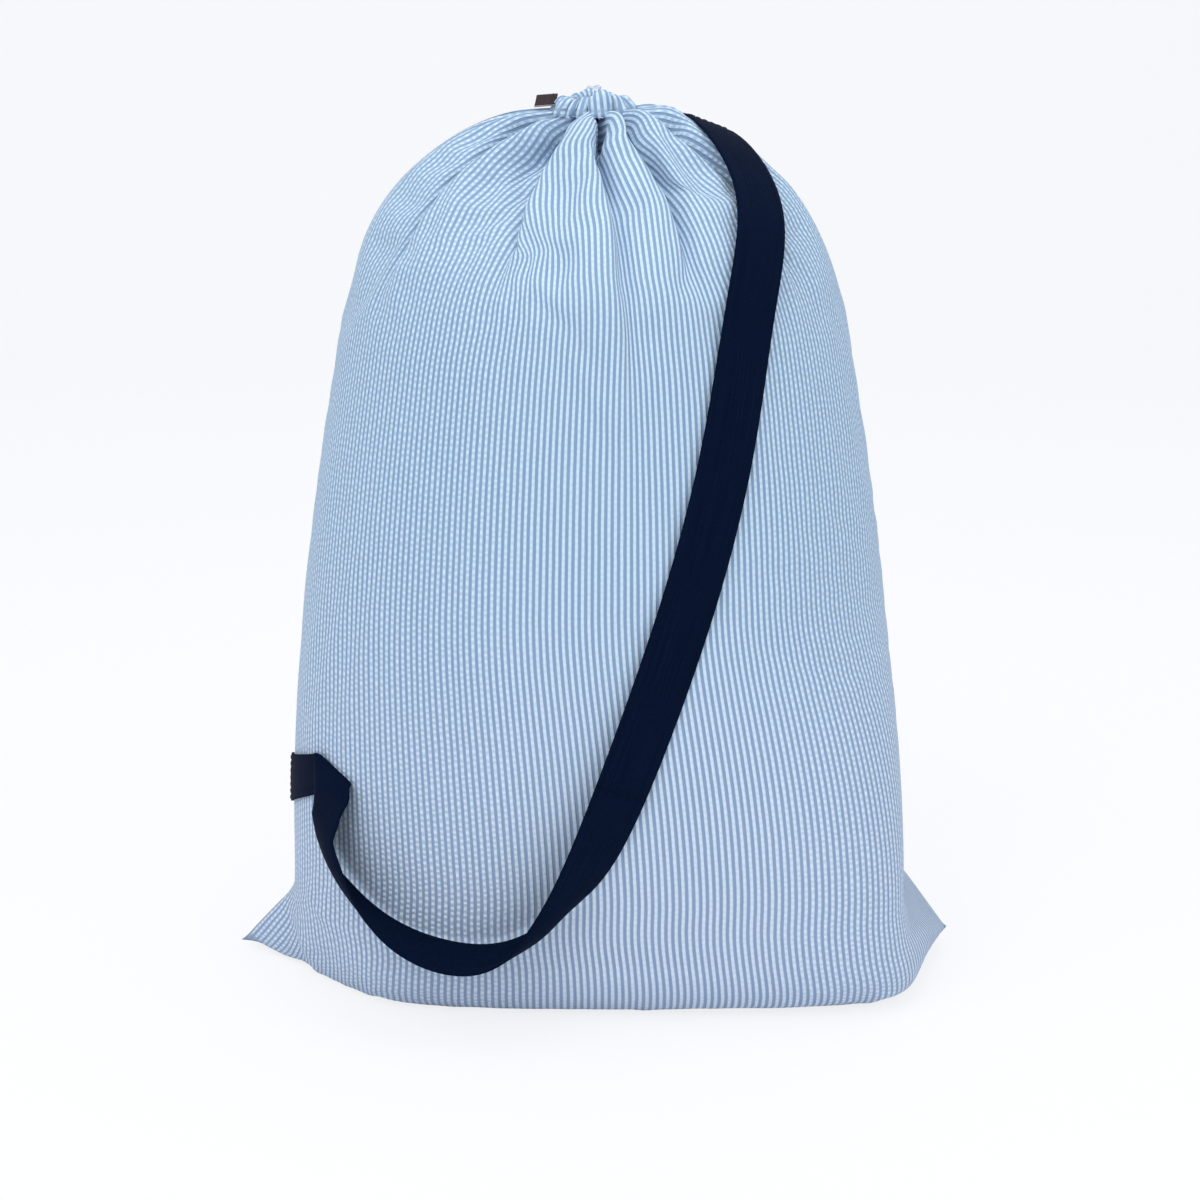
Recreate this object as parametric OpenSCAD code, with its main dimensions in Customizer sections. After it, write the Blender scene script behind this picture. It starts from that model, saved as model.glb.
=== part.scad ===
// Laundry bag of puckered striped cloth, filled and standing on the floor. Its mouth is drawn in by a
// cord that runs round in a casing, and a webbing shoulder strap hangs down its front.
// X runs across the bag, Y to its back and Z up. The origin is on the floor, at the middle of the
// bottom seam. Places on the bag are an angle round it (0 at the middle of the front, 90 at the
// right side seam) and a level (0 at the floor, 1 at the shoulders, 2 at the neck).

/* [Bag] */
// Width of the filled bag above its bottom corners
bag_w = 446; // [400:1:480]
// Depth of the filled bag just above the floor
bag_d = 284; // [250:1:320]
// Width across the shoulders
shoulder_w = 346; // [320:1:380]
// Depth across the shoulders
shoulder_d = 296; // [270:1:330]
// Height of the shoulders
shoulder_z = 505; // [450:1:560]
// Height of the neck, where the casing sits
neck_z = 626; // [600:1:680]
// How far front and back swell between the floor and the shoulders
belly = 14; // [4:1:24]
// Radius where the walls turn under to the floor
foot_r = 40; // [30:1:50]
// How far each bottom corner stands out past the side
ear_reach = 43; // [20:1:60]
// Height of the tip of the left bottom corner
ear_lift = 5; // [3:1:12]
// How much higher the tip of the right bottom corner is
ear_tilt = 11; // [0:1:16]
// Height where a bottom corner meets the side
ear_z = 70; // [60:1:90]
// Thickness of the puckered cloth
cloth_t = 1.2; // [0.9:0.1:1.6]
// Depth of the folds that run into the neck, where they are deepest
fold_depth = 22; // [12:1:26]
// Half of the angle that one of those folds takes up
fold_spread = 10; // [7:1:12]

/* [Seams] */
// Depth of the overlocked seam edges inside the bag
seam_w = 10; // [6:1:14]
// Thickness of an overlocked seam edge
seam_t = 2.6; // [2:0.1:4]

/* [Casing and drawstring] */
// Outside thickness of the gathered casing
casing_d = 13; // [11:0.5:16]
// Diameter of the ring that the casing makes round the mouth, at its middle
ring_d = 38; // [34:1:60]
// Thickness of the drawstring
cord_d = 4; // [3:0.5:5]
// Half of the angle that the drawstring can run round before its ends meet the outlet
cord_run = 6; // [3:1:9]
// Reach of the drawstring's ends out of the casing, to the middle of the knot
knot_reach = 20; // [18:1:26]
// Width of the stitched lip round the outlet
lip_w = 2; // [1:0.5:3]

/* [Strap] */
// Width of the webbing
strap_w = 38; // [30:1:44]
// Thickness of the webbing
strap_t = 1.6; // [1.2:0.1:2.2]
// How far the lowest loop of the strap stands off the front
strap_hang = 24; // [20:1:28]
// Length of webbing sewn down behind the neck
tail_l = 46; // [40:1:56]

/* [Label] */
// Width of the woven label
label_w = 16; // [12:1:24]
// Length of the label out from the casing
label_l = 15; // [11:1:20]
// Thickness of the folded label
label_t = 1; // [0.6:0.1:1.6]

/* [Stitching] */
// Thickness of the sewing thread
thread_d = 0.8; // [0.5:0.1:1]
// Length of one stitch
stitch_l = 4; // [3:0.5:5]
// Stitches round the casing
casing_stitches = 20; // [16:4:28]

/* [Fit] */
// Clearance between neighbouring pieces
fit = 0.3; // [0.2:0.05:0.4]

/* [Hidden] */
$fn = 48;

cloth_color = "#b4c9e2";
casing_color = "#bfd2e8";
thread_color = "#dfe9f5";
webbing_color = "#10182b";
label_color = "#3a1d22";

// The section of the bag is a superellipse of this power, made squarer at the foot: by so much on the
// left and on the right, up to a share of the height of the shoulders.
section_power = 2.2;
foot_square = [0.8, 4.6];
foot_square_top = [0.2, 0.6];
// The folds on the front and on the back, as [angle, share of fold_depth].
front_folds = [[-80, 0.7], [-58, 0.8], [-27, 1], [9, 0.7], [27, 1], [57, 0.8], [80, 0.7]];
back_folds = [[-80, 0.7], [-60, 0.8], [-36, 0.9], [-11, 0.8], [13, 1], [38, 0.8], [60, 0.9], [80, 0.7]];
// Up to this share of its half width the bag lies flat on the floor.
flat_share = 0.55;
// How far up the seam of the left and of the right bottom corner the floor's rows end.
ear_floor = [0.12, 0.5];
// At the foot the cloth runs straight from this far left of the middle to the tip of the left corner,
// and above these heights less and less so.
flap_x = 140;
flap_z = [15, 80];
// How far the weight of the filling presses the cloth into the floor's plane.
press = 0.4;

// Facets of a panel: columns across it, then rows along its floor, its turn, its wall and its top.
cols = 60;
floor_rows = 4;
turn_rows = 6;
wall_rows = 8;
top_rows = 10;

ring_r = ring_d / 2;
ring_z = neck_z + fit + casing_d / 2;
channel_d = cord_d + 2 * fit;
// The outlet is as wide as the two cord ends, their run and a clearance.
end_angle = asin((cord_d / 2 + fit) / (ring_r + casing_d / 2));
outlet_angle = end_angle + asin((cord_d / 2 + fit) / ring_r) + cord_run;
lip_angle = outlet_angle + asin(lip_w / (ring_r + casing_d / 2));
lip_r = ring_r + casing_d / 2 - 1.5;
lip_t = 2;

function lerp(a, b, s) = a + (b - a) * s;
function unit(v) = v / norm(v);
function clamp(v, low, high) = min(high, max(low, v));
function side(v, p) = sign(v) * pow(abs(v), p);
function flatten(rows) = [for (row = rows) each row];

// The bag's shape: half width and half depth at a height. Above the shoulders the walls' lines go on,
// and the dome draws them in to the ring round the mouth.
function wall_s(z) = max(0, (z - ear_z) / (shoulder_z - ear_z));
function top_s(z) = clamp((z - shoulder_z) / (neck_z - shoulder_z), 0, 1);
function swell_s(z) = max(0, (z - foot_r) / (shoulder_z - foot_r));
function wall_x(z) = lerp(bag_w, shoulder_w, pow(wall_s(z), 1.9)) / 2;
function wall_y(z) = lerp(bag_d, shoulder_d, swell_s(z)) / 2 + 4 * belly * swell_s(z) * (1 - swell_s(z));
function half_x(z) = lerp(ring_r, wall_x(z), sqrt(1 - pow(top_s(z), 2.6)));
function turn_y(z) = z < foot_r ? foot_r - sqrt(foot_r * foot_r - pow(foot_r - z, 2)) : 0;
function half_y(z) = lerp(ring_r, wall_y(z) - turn_y(z), pow(1 - pow(top_s(z), 2), 0.75));
function height(level) =
    level < 1 ? level * shoulder_z : lerp(shoulder_z, neck_z, level - 1);

// A point of the bag's outside at an angle and a level, and the way it faces there.
function skin(angle, level) = let (z = height(level), p = 2 / section_power)
    [half_x(z) * side(sin(angle), p), -half_y(z) * side(cos(angle), p), z];
function facing(angle, level) = let (a = 2, h = 0.02)
    unit(cross(skin(angle + a, level) - skin(angle - a, level), skin(angle, level + h) - skin(angle, level - h)));
function off_skin(angle, level, gap) = skin(angle, level) + gap * facing(angle, level);

function eased(s) = s * s * (3 - 2 * s);
function square_at(z, angle) = let (i = angle > 0 ? 1 : 0)
    section_power + foot_square[i] * sqrt(abs(sin(angle)))
        * (1 - eased(clamp(z / (foot_square_top[i] * shoulder_z), 0, 1)));

// Rows of a panel, from the bottom seam to the neck, as [half width and height at the left side seam,
// the same at the right one, half depth and height at the middle, depth of the folds across and down].
function ear_end(e, tilt) = [bag_w / 2 + ear_reach * (1 - e), lerp(ear_lift, ear_z, e) + tilt * (1 - e)];
function ear_row(s, y, z) = let (e = [for (f = ear_floor) s < 1 ? f * s : lerp(f, 0.9, s - 1)])
    [ear_end(e[0], 0), ear_end(e[1], ear_tilt), y, z, 0, 0];
function wall_row(z, across, down) = [[half_x(z), z], [half_x(z), z], half_y(z), z, across, down];
panel_rows = [
    for (i = [0 : floor_rows]) let (s = i / floor_rows)
        ear_row(s, s * (bag_d / 2 - foot_r), -press),
    for (i = [1 : turn_rows]) let (s = i / turn_rows)
        ear_row(1 + s, bag_d / 2 - foot_r + foot_r * sin(90 * s), foot_r * (1 - cos(90 * s)) - press * (1 - s)),
    for (i = [0 : wall_rows])
        wall_row(lerp(ear_z, shoulder_z, i / wall_rows), 0, 0),
    for (i = [1 : top_rows]) let (t = 90 * i / top_rows, z = lerp(shoulder_z, neck_z, sin(t)))
        let (fold = fold_depth * pow(sin(t), 1.5) * (1 - 0.85 * pow(sin(t), 20)))
            wall_row(z, fold * cos(t), fold * sin(t))
];
function hollow(x) = abs(x) < 1 ? (1 + cos(180 * x)) / 2 : 0;
function flap(x, y, end, row) = let (low = 1 - eased(clamp((row[3] - flap_z[0]) / (flap_z[1] - flap_z[0]), 0, 1)))
    x < 0 ? lerp(y, min(y, row[2] * (end + x) / (end - flap_x)), low) : y;
function panel_point(row, angle, folds) =
    let (p = 2 / square_at(row[3], angle), end = row[angle > 0 ? 1 : 0],
        fold = max([for (f = folds) f[1] * hollow((angle - f[0]) / fold_spread)]),
        rise = pow(max(0, (abs(sin(angle)) - flat_share) / (1 - flat_share)), 4),
        x = (end[0] - row[4] * fold) * side(sin(angle), p),
        y = (row[2] - row[4] * fold) * side(cos(angle), p))
    [x, -flap(x, y, end[0], row), lerp(row[3], end[1], rise) - row[5] * fold];
function panel_outside(folds) =
    [for (row = panel_rows) [for (j = [0 : cols]) panel_point(row, lerp(-90, 90, j / cols), folds)]];
// The cloth's inside lies its thickness in, and stays on the front's side of the seams' plane.
function panel_inside(g) = [for (i = [0 : len(g) - 1]) [for (j = [0 : cols]) let (
        across = g[i][min(j + 1, cols)] - g[i][max(j - 1, 0)],
        along = g[min(i + 1, len(g) - 1)][j] - g[max(i - 1, 0)][j],
        n = unit(cross(across, along)),
        m = (j > 0 && j < cols) ? n : i > 0 ? unit([n[0], 0, n[2]]) : [sign(g[i][j][0]), 0, 0],
        p = g[i][j] - cloth_t * m)
    [p[0], (j == 0 || j == cols || i == 0) ? 0 : min(p[1], 0), p[2]]]];

// A closed sheet between two grids of points.
module sheet(outside, inside) {
    rows = len(outside);
    n = len(outside[0]);
    total = rows * n;
    function quad(a, b, c, d) = [[a, b, c], [a, c, d]];
    polyhedron(points = concat(flatten(outside), flatten(inside)), faces = flatten([
        for (i = [0 : rows - 2], j = [0 : n - 2]) let (k = i * n + j)
            quad(k, k + n, k + n + 1, k + 1),
        for (i = [0 : rows - 2], j = [0 : n - 2]) let (k = total + i * n + j)
            quad(k, k + 1, k + n + 1, k + n),
        for (j = [0 : n - 2])
            quad(j, j + 1, total + j + 1, total + j),
        for (j = [0 : n - 2]) let (k = (rows - 1) * n + j)
            quad(k + 1, k, total + k, total + k + 1),
        for (i = [0 : rows - 2]) let (k = i * n)
            quad(k + n, k, total + k, total + k + n),
        for (i = [0 : rows - 2]) let (k = i * n + n - 1)
            quad(k, k + n, total + k + n, total + k)
    ]));
}

// A solid swept through rings of points that all have the same number of corners.
module swept(rings) {
    n = len(rings[0]);
    last = (len(rings) - 1) * n;
    polyhedron(points = flatten(rings), faces = concat(
        flatten([for (i = [0 : len(rings) - 2], j = [0 : n - 1]) let (a = i * n + j, b = i * n + (j + 1) % n)
            [[a, b + n, a + n], [a, b, b + n]]]),
        [for (j = [1 : n - 2]) [0, j + 1, j]],
        [for (j = [1 : n - 2]) [last, last + j, last + j + 1]]));
}

module panel(folds) {
    outside = panel_outside(folds);
    intersection() {
        sheet(outside, panel_inside(outside));
        translate([-bag_w, -2 * bag_d, 0])
            cube([2 * bag_w, 4 * bag_d, 2 * neck_z]);
    }
}

module front_panel() {
    color(cloth_color) panel(front_folds);
}

module back_panel() {
    color(cloth_color) mirror([0, 1, 0]) panel(back_folds);
}

// An overlocked edge along the inside of a side seam, from above the corner to the shoulder.
seam_steps = 24;
function seam_at(i) = half_x(lerp(ear_z, shoulder_z, i / seam_steps));
module side_seam_edge() {
    swept([for (i = [0 : seam_steps]) let (
            z = lerp(ear_z, shoulder_z, i / seam_steps), x = seam_at(i) - cloth_t - fit)
        [[x, -seam_t / 2, z], [x - seam_w, -seam_t / 2, z], [x - seam_w, seam_t / 2, z], [x, seam_t / 2, z]]]);
}

module right_seam_edge() {
    color(thread_color) side_seam_edge();
}

module left_seam_edge() {
    color(thread_color) mirror([1, 0, 0]) side_seam_edge();
}

module bottom_seam_edge() {
    l = bag_w * flat_share;
    color(thread_color)
        translate([-l / 2, -seam_t / 2, cloth_t - press + fit])
            cube([l, seam_t, seam_w]);
}

// The casing: a gathered tube of cloth round the mouth, with a round channel for the drawstring.
module casing_half() {
    translate([0, 0, ring_z])
        rotate_extrude(angle = 180)
            translate([ring_r, 0])
                difference() {
                    circle(d = casing_d);
                    circle(d = channel_d);
                }
}

// A block with curved faces round the mouth's axis, centred on the back.
module back_arc(angle, r0, r1, h) {
    translate([0, 0, ring_z])
        rotate([0, 0, 90 - angle])
            rotate_extrude(angle = 2 * angle)
                translate([r0, -h / 2])
                    square([r1 - r0, h]);
}

module front_casing() {
    color(casing_color) mirror([0, 1, 0]) casing_half();
}

module back_casing() {
    color(casing_color) difference() {
        casing_half();
        back_arc(outlet_angle, ring_r, ring_r + casing_d, channel_d);
        back_arc(lip_angle, lip_r, ring_r + casing_d, channel_d + 2 * lip_w);
    }
}

module outlet_buttonhole() {
    color(thread_color) difference() {
        back_arc(lip_angle - 0.3, lip_r + fit, lip_r + lip_t, channel_d + 2 * lip_w - fit);
        back_arc(outlet_angle, ring_r, ring_r + casing_d, channel_d);
    }
}

// Stitches that hold the casing's hem, low on its outside.
stitch_slope = 50;
stitch_r = casing_d / 2 + thread_d / 2 + fit;
module casing_stitching() {
    step = 360 / casing_stitches;
    r = ring_r + stitch_r * cos(stitch_slope);
    color(thread_color)
        for (i = [0 : casing_stitches - 1])
            translate([0, 0, ring_z - stitch_r * sin(stitch_slope)])
                rotate([0, 0, i * step])
                    rotate_extrude(angle = stitch_l / r * 180 / PI)
                        translate([r, 0])
                            circle(d = thread_d);
}

// The drawstring: a ring in the casing, whose two ends come out at the back to a knot.
module drawstring() {
    color(thread_color) translate([0, 0, ring_z]) {
        rotate_extrude()
            translate([ring_r, 0])
                circle(d = cord_d);
        for (a = [-end_angle, end_angle])
            rotate([0, 0, 90 + a])
                translate([ring_r, 0, 0])
                    rotate([0, 90, 0])
                        cylinder(d = cord_d, h = knot_start - ring_r);
    }
}

// An overhand knot: a closed three-lobed tube.
knot_s = 0.56 * cord_d;
knot_sides = 8;
knot_rings = 40;
knot_start = ring_r + casing_d / 2 + knot_reach - 2.61 * knot_s - cord_d / 2 - fit;
function knot_line(t) = knot_s * [-1.45 * sin(3 * t), sin(t) + 2 * sin(2 * t), cos(t) - 2 * cos(2 * t)];
module drawstring_knot() {
    color(thread_color)
        translate([0, ring_r + casing_d / 2 + knot_reach, ring_z])
            closed_tube([for (i = [0 : knot_rings - 1]) knot_line(360 * i / knot_rings)], cord_d, knot_sides);
}

module closed_tube(line, d, sides) {
    n = len(line);
    rings = [for (i = [0 : n - 1]) let (
            t = unit(line[(i + 1) % n] - line[(i + n - 1) % n]), u = unit(cross(t, [1, 0, 0])), v = cross(t, u))
        [for (j = [0 : sides - 1]) let (a = 360 * j / sides) line[i] + d / 2 * (cos(a) * u + sin(a) * v)]];
    polyhedron(points = flatten(rings), faces = flatten([
        for (i = [0 : n - 1], j = [0 : sides - 1]) let (
                a = i * sides + j, b = i * sides + (j + 1) % sides,
                c = (i + 1) % n * sides + j, d = (i + 1) % n * sides + (j + 1) % sides)
            [[a, d, b], [a, c, d]]]));
}

// The strap's free run, from the neck over the right shoulder, down the front, round its lowest
// loop and up to the fold at the left seam, as [angle, level, stand-off of the middle as a share of
// strap_hang, turn of the webbing's face about its run].
strap_route = [
    [91.6, 1.906, 0.1, 0], [77.7, 1.883, 0.1, 0], [66.4, 1.827, 0.1, 0],
    [56.3, 1.707, 0.1, 0], [49.8, 1.531, 0.125, 0], [41.8, 1.34, 0.125, 0], [35.5, 1.097, 0.125, 0],
    [30.6, 0.941, 0.125, 0], [27.1, 0.86, 0.125, 0], [22.3, 0.755, 0.125, 0], [16.7, 0.635, 0.125, 0],
    [9.8, 0.49, 0.167, -3], [3, 0.35, 0.375, -16], [-2, 0.243, 0.708, -37], [-8, 0.177, 0.958, -73],
    [-13, 0.135, 1, -94], [-20, 0.118, 1, -98], [-28, 0.133, 1, -97], [-36, 0.165, 1, -91],
    [-43, 0.202, 0.917, -72], [-50, 0.243, 0.75, -42], [-54, 0.285, 0.5, -20]
];
route_steps = 3;
// The fold's diagonal: its upper left end, on the strap's swing line, and its lower right end.
fold_high = [-64, 0.362];
fold_low = [-50, 0.322];
// The fold rolls over the sewn end with this much air.
fold_rise = 6 * fit;
tab_gap = strap_t / 2 + 2 * fit;
fold_gap = tab_gap + strap_t + fit + fold_rise;

function catmull(a, b, c, d, t) =
    0.5 * (2 * b + (c - a) * t + (2 * a - 5 * b + 4 * c - d) * t * t + (3 * b - a - 3 * c + d) * t * t * t);
function smooth(list, steps) = let (n = len(list) - 1) [
    for (i = [0 : n - 1], k = [0 : steps - 1])
        catmull(list[max(i - 1, 0)], list[i], list[i + 1], list[min(i + 2, n)], k / steps),
    list[n]];
function spot(p) = off_skin(p[0], p[1], p[2] * strap_hang);
// The four corners of the webbing at a place on its run.
function webbing(middle, run, face, w) = let (a = w / 2 * unit(cross(run, face)), b = strap_t / 2 * face)
    [middle + a + b, middle - a + b, middle - a - b, middle + a - b];
function edge_ring(p, q, face) = let (b = strap_t / 2 * face) [p + b, q + b, q - b, p - b];
function turned(run, face, angle) = let (level = unit(face - run * (run * face)))
    level * cos(angle) + cross(run, level) * sin(angle);

// Where the free run starts, behind the neck, the webbing goes on as the sewn-down upper end.
crest = strap_route[0];
tail_turn = tail_l / norm(spot(crest + [1, 0, 0, 0]) - spot(crest));
strap_line = smooth(concat([for (s = [1, 0.5]) crest + s * [tail_turn, -0.055 * s * s, 0, 0]], strap_route), route_steps);
crest_at = 2 * route_steps;
strap_end = len(strap_line) - 1;
function strap_run(i) = unit(spot(strap_line[min(i + 1, strap_end)]) - spot(strap_line[max(i - 1, 0)]));
function strap_face(i) = turned(strap_run(i), facing(strap_line[i][0], strap_line[i][1]), strap_line[i][3]);
function strap_ring(i) = webbing(spot(strap_line[i]), strap_run(i), strap_face(i), strap_w);
fold_face = unit(facing(fold_high[0], fold_high[1]) + facing(fold_low[0], fold_low[1]));
strap_fold = edge_ring(off_skin(fold_low[0], fold_low[1], fold_gap), off_skin(fold_high[0], fold_high[1], fold_gap),
    fold_face);

module strap() {
    color(webbing_color)
        swept(concat([for (i = [crest_at : strap_end]) strap_ring(i)], [strap_fold]));
}

// The lower end: sewn into the left side seam and brought round to the front, up to the fold.
tab_steps = 12;
tab_across = 4;
tab_start = -89;
tab_level = 0.265;
tab_half = strap_w / 2 / shoulder_z;
function tab_spot(along, across) = lerp(
    lerp([tab_start, tab_level - tab_half], fold_low, along),
    lerp([tab_start, tab_level + tab_half], fold_high, along), across);
function tab_grid(gap) = [for (k = [0 : tab_across]) [for (i = [0 : tab_steps])
    let (p = tab_spot(i / tab_steps, k / tab_across)) off_skin(p[0], p[1], gap)]];
module strap_lower_end() {
    color(webbing_color) sheet(tab_grid(tab_gap + strap_t / 2), tab_grid(tab_gap - strap_t / 2));
}

// The upper end: laid over the folds behind the neck and sewn down, close to the free run.
module strap_upper_end() {
    back = fit * strap_run(crest_at);
    color(webbing_color)
        swept(concat([for (i = [0 : crest_at - 1]) strap_ring(i)], [[for (p = strap_ring(crest_at)) p - back]]));
}

// A stitch lying along a line between two points.
module stitch(p, q) {
    d = q - p;
    translate(p)
        rotate([0, acos(d[2] / norm(d)), atan2(d[1], d[0])])
            cylinder(d = thread_d, h = norm(d));
}

module strap_lower_stitching() {
    lift = tab_gap + strap_t / 2 + fit + thread_d / 2;
    n = floor(0.8 * strap_w / stitch_l);
    color(thread_color)
        for (angle = [-86, -83], i = [0 : n - 1]) {
            level = tab_level + (i - (n - 1) / 2) * stitch_l / shoulder_z;
            half = 0.4 * stitch_l / shoulder_z;
            stitch(off_skin(angle, level - half, lift), off_skin(angle, level + half, lift));
        }
}

// A box of stitches with a cross in it, on the sewn-down upper end. Corners are a place along the
// end, in steps of its run, and a distance to one side.
module strap_upper_stitching() {
    inset = 0.16 * strap_w;
    half = strap_w / 2 - inset;
    near = inset / tail_l * crest_at;
    far = crest_at - near;
    lift = strap_t / 2 + fit + thread_d / 2;
    function ring_at(k) = let (i = floor(k)) lerp(strap_ring(i), strap_ring(i + 1), k - i);
    function sewn(c) = let (ring = ring_at(c[0]), face = unit(ring[0] - ring[3]))
        lerp(ring[1], ring[0], 0.5 + c[1] / strap_w) + (lift - strap_t / 2) * face;
    corners = [[near, -half], [far, -half], [far, half], [near, half]];
    lines = [[0, 1], [1, 2], [2, 3], [3, 0], [0, 2], [1, 3]];
    color(thread_color)
        for (line = lines) {
            p = corners[line[0]];
            q = corners[line[1]];
            n = floor(norm(sewn(p) - sewn(q)) / (1.3 * stitch_l));
            for (i = [0 : n - 1])
                stitch(sewn(lerp(p, q, (i + 0.2) / n)), sewn(lerp(p, q, (i + 0.8) / n)));
        }
}

// The woven label, bare on both faces: a folded ribbon sewn to the casing at the left of the mouth.
label_angle = 172;
label_slope = -5;
// Its front edge hangs lower than its back edge.
label_tilt = 25;
// The label's root stays clear of the casing however the label flips.
label_root = casing_d / 2 + fit + label_t / 2;
module on_casing(slope) {
    translate([0, 0, ring_z])
        rotate([0, 0, label_angle])
            translate([ring_r, 0, 0])
                rotate([0, -slope, 0])
                    rotate([-label_tilt, 0, 0])
                        children();
}

module label() {
    color(label_color)
        on_casing(label_slope)
            translate([label_root, -label_w / 2, -label_t / 2]) {
                cube([label_l, label_w, label_t]);
            }
}

module label_stitching() {
    n = floor(0.8 * label_w / stitch_l);
    color(thread_color)
        on_casing(label_slope)
            for (i = [0 : n - 1])
                translate([label_root + 3, (i - (n - 1) / 2) * stitch_l - 0.4 * stitch_l, label_t / 2 + fit + thread_d / 2])
                    rotate([-90, 0, 0])
                        cylinder(d = thread_d, h = 0.8 * stitch_l);
}

front_panel();
back_panel();
left_seam_edge();
right_seam_edge();
bottom_seam_edge();
front_casing();
back_casing();
casing_stitching();
outlet_buttonhole();
drawstring();
drawstring_knot();
strap();
strap_lower_end();
strap_upper_end();
strap_lower_stitching();
strap_upper_stitching();
label();
label_stitching();
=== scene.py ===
"""A filled laundry bag of puckered striped cloth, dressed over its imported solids.

Lengths are millimetres up to the mesh makers, which write metres. X runs across the bag, Y to its
back and Z up. Places on the bag are an angle round it (0 at the middle of the front, 90 at the right
side seam) and a level (0 at the floor, 1 at the shoulders, 2 at the neck).
"""
from math import atan2, cos, degrees, exp, pi, radians, sin, tau

import bpy
import numpy as np
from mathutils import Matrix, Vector


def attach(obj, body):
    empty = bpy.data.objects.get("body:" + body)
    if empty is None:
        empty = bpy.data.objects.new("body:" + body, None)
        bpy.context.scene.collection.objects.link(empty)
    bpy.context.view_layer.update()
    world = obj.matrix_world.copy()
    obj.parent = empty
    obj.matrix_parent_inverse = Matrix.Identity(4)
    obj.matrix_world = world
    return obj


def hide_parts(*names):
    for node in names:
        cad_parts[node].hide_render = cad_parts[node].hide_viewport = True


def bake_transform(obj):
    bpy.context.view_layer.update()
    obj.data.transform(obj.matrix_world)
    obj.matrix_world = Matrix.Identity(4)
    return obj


MM = 0.001
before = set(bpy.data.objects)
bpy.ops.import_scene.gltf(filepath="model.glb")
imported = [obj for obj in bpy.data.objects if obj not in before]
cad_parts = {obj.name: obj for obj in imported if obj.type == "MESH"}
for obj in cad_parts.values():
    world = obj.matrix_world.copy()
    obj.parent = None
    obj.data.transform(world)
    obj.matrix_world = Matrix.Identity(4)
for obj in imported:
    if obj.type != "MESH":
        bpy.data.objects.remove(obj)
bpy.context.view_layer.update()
scene = bpy.context.scene
scene.view_settings.view_transform = "Standard"

# The bag's sizes, as in the part's source.
BAG_W, BAG_D, SHOULDER_W, SHOULDER_D = 446, 284, 346, 296
SHOULDER_Z, NECK_Z = 505, 626
BELLY, FOOT_R, EAR_REACH, EAR_Z, EAR_LIFT, EAR_TILT = 14, 40, 43, 70, 5, 11
RING_R, CASING_R, RING_Z = 19, 6.5, 632.8
STRAP_W, STRAP_T, STRAP_HANG, TAIL_L = 38, 1.6, 24, 46
HALF_W, HALF_T = STRAP_W / 2, STRAP_T / 2
CORD_D = 4
# A panel's width as it is cut, and the pitches of its stripes and of their puckers.
FLAT_W, STRIPE, PUCKER = 612.0, 4.55, 4.7


# ---- camera

def shown(name, data):
    thing = bpy.data.objects.new(name, data)
    scene.collection.objects.link(thing)
    return thing


def aimed(name, data, place, target):
    """A camera or lamp at a place in metres, turned to look at a target."""
    thing = shown(name, data)
    thing.location = place
    thing.rotation_euler = (Vector(target) - Vector(place)).to_track_quat("-Z", "Y").to_euler()
    return thing


def make_camera():
    """Looks at the front from 14 degrees up, framed as the photograph is."""
    lens = bpy.data.cameras.new("camera")
    lens.sensor_width, lens.lens = 36, 74.5
    lens.shift_x, lens.shift_y = 0.005, -0.0533
    target, away, rise = Vector((0, 0, 0.32)), 1.8, radians(14)
    place = target + away * Vector((0, -cos(rise), sin(rise)))
    scene.camera = aimed("camera", lens, place, target)


make_camera()


# ---- shader maths

def add_node(tree, kind, settings=None, sockets=None):
    """Adds a node to a tree: its settings first, then its sockets' values or links."""
    node = tree.nodes.new(kind)
    for name, value in (settings or {}).items():
        setattr(node, name, value)
    for name, value in (sockets or {}).items():
        if isinstance(value, bpy.types.NodeSocket):
            tree.links.new(value, node.inputs[name])
        else:
            node.inputs[name].default_value = value
    return node


def maths(operation):
    """A method of a wire that adds a Math node."""
    return lambda wire, *others: wire.op(operation, *others)


class Wire:
    """A shader socket that takes arithmetic: an expression on wires adds Math nodes."""

    __add__ = __radd__ = maths("ADD")
    __mul__ = __rmul__ = maths("MULTIPLY")
    __sub__, __truediv__ = maths("SUBTRACT"), maths("DIVIDE")
    sin, floor, abs = maths("SINE"), maths("FLOOR"), maths("ABSOLUTE")

    def __init__(self, finish, socket):
        self.finish, self.socket = finish, socket

    def __rsub__(self, other):
        return self * -1 + other

    def op(self, operation, *others):
        sockets = dict(enumerate((self, *others)))
        return self.finish.node("Math", {"operation": operation}, sockets)

    def wave(self, pitch):
        """A sine along this, with one turn in each pitch."""
        return (self * (tau / pitch)).sin()

    def band(self, low, high):
        """0 below low, 1 above high, and a smooth step between them."""
        steps = {0: self, 1: low, 2: high}
        return self.finish.node("MapRange", {"interpolation_type": "SMOOTHSTEP"}, steps)


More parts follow.
